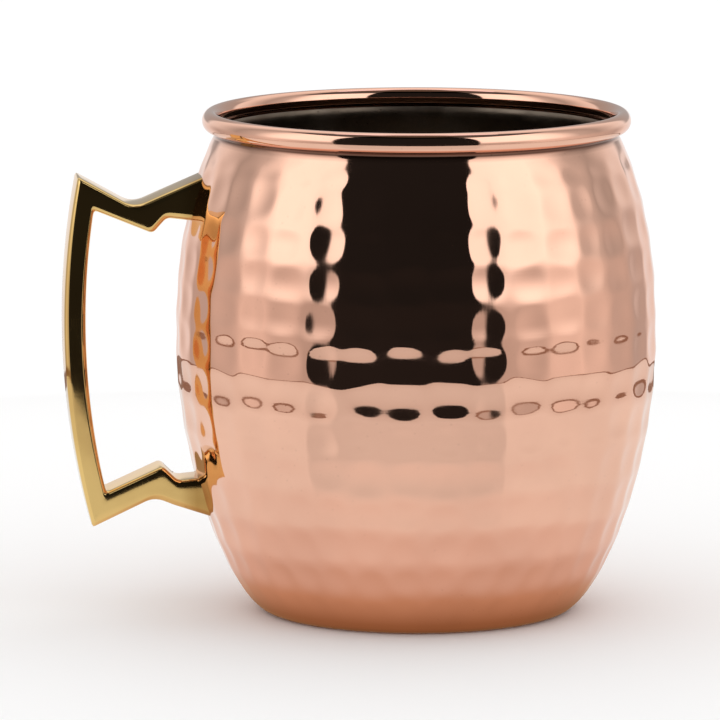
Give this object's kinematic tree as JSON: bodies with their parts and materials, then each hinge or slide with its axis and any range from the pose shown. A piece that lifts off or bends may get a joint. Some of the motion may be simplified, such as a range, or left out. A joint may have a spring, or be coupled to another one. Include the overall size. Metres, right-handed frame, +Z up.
{
  "type": "mug",
  "caption": "Barrel-shaped hammered copper mug with a rolled, wired rim, a thin steel liner and an angular cast brass handle for cold drinks.",
  "frame": {"origin": "centre of the flat base plate's underside, on the mug's turning axis, where the mug rests", "axes": "+Z up along the mug's turning axis; the handle stands out along -X and lies in the XZ plane; +Y completes the right-handed frame"},
  "size_m": [0.1124, 0.091, 0.095],
  "materials": {
    "hammered_copper": "hammered and polished copper",
    "base_copper": "spun copper",
    "cast_brass": "polished cast brass",
    "liner_steel": "satin steel",
    "rim_wire_steel": "drawn wire",
    "rivet_steel": "satin steel"
  },
  "bodies": {
    "root": {"outer_shell": "hammered_copper", "inner_liner": "liner_steel", "rim_wire": "rim_wire_steel", "base_plate": "base_copper", "handle": "cast_brass", "upper_rivet": "rivet_steel", "lower_rivet": "rivet_steel"}
  },
  "joints": []
}
